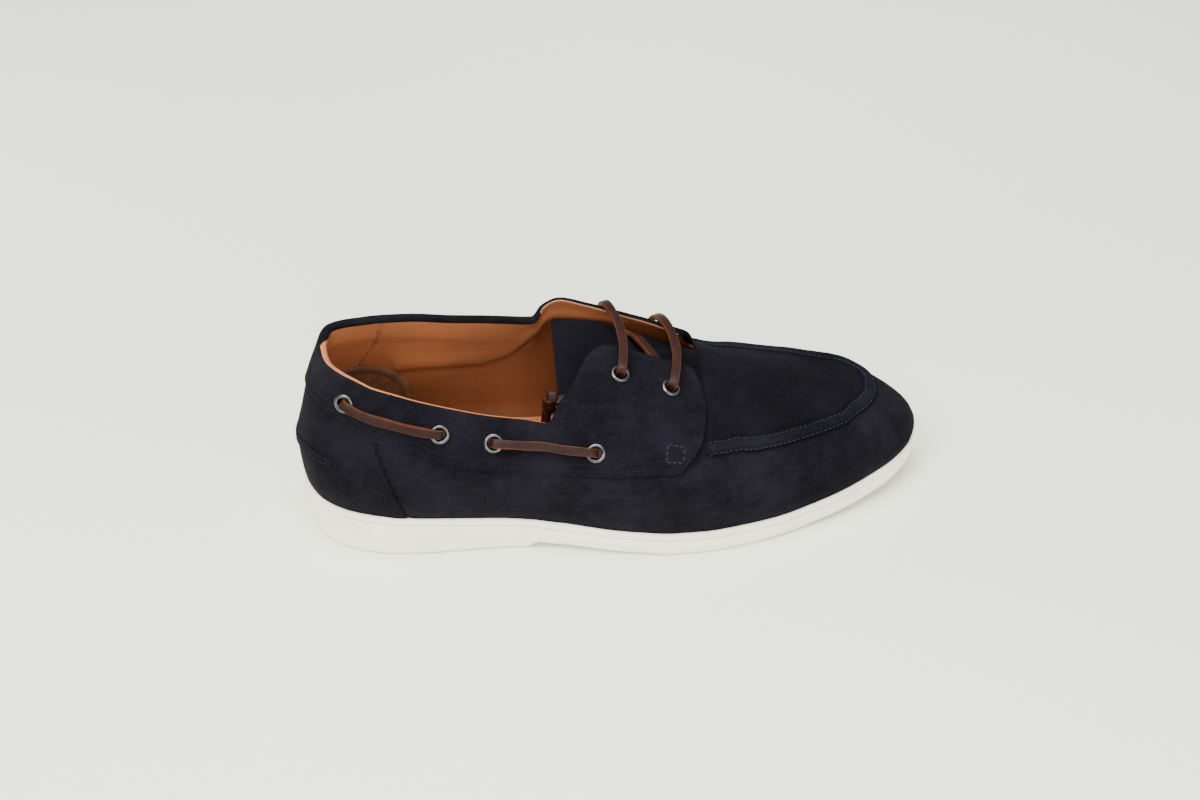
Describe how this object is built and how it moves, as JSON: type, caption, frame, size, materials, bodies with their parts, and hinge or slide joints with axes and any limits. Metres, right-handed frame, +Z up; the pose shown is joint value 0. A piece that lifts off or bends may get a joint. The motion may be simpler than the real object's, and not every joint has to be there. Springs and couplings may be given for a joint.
{
  "type": "boat shoe",
  "caption": "Low-cut suede boat shoe for the right foot, with a moulded white sole, moccasin toe, leather laces run through collar eyelets and two bars over the throat.",
  "frame": {"origin": "centre of the heel's flat tread, on the ground", "axes": "+X to the toe, +Y to the inner (medial) side, +Z up"},
  "size_m": [0.301, 0.108, 0.096],
  "materials": {
    "sole_rubber": "matt white moulded rubber, fine grain",
    "suede": "navy suede with a mottled nap",
    "lining_leather": "smooth tan lining leather, semi-gloss",
    "eyelet_metal": "gunmetal, polished",
    "lace_leather": "brown oiled leather thong with lighter cut edges"
  },
  "bodies": {
    "root": {"sole": "sole_rubber", "insole": "lining_leather", "upper": "suede", "tongue": "suede", "eyelet_lateral_1": "eyelet_metal", "eyelet_lateral_2": "eyelet_metal", "eyelet_lateral_3": "eyelet_metal", "eyelet_lateral_4": "eyelet_metal", "eyelet_lateral_5": "eyelet_metal", "eyelet_lateral_6": "eyelet_metal", "eyelet_medial_1": "eyelet_metal", "eyelet_medial_2": "eyelet_metal", "eyelet_medial_3": "eyelet_metal", "eyelet_medial_4": "eyelet_metal", "eyelet_medial_5": "eyelet_metal", "eyelet_medial_6": "eyelet_metal", "lace_lateral_back": "lace_leather", "lace_lateral_mid": "lace_leather", "lace_medial_back": "lace_leather", "lace_medial_mid": "lace_leather", "lace_bar_rear": "lace_leather", "lace_bar_front": "lace_leather", "lace_end": "lace_leather", "lace_tail": "lace_leather", "lace_knot": "lace_leather"}
  },
  "joints": []
}
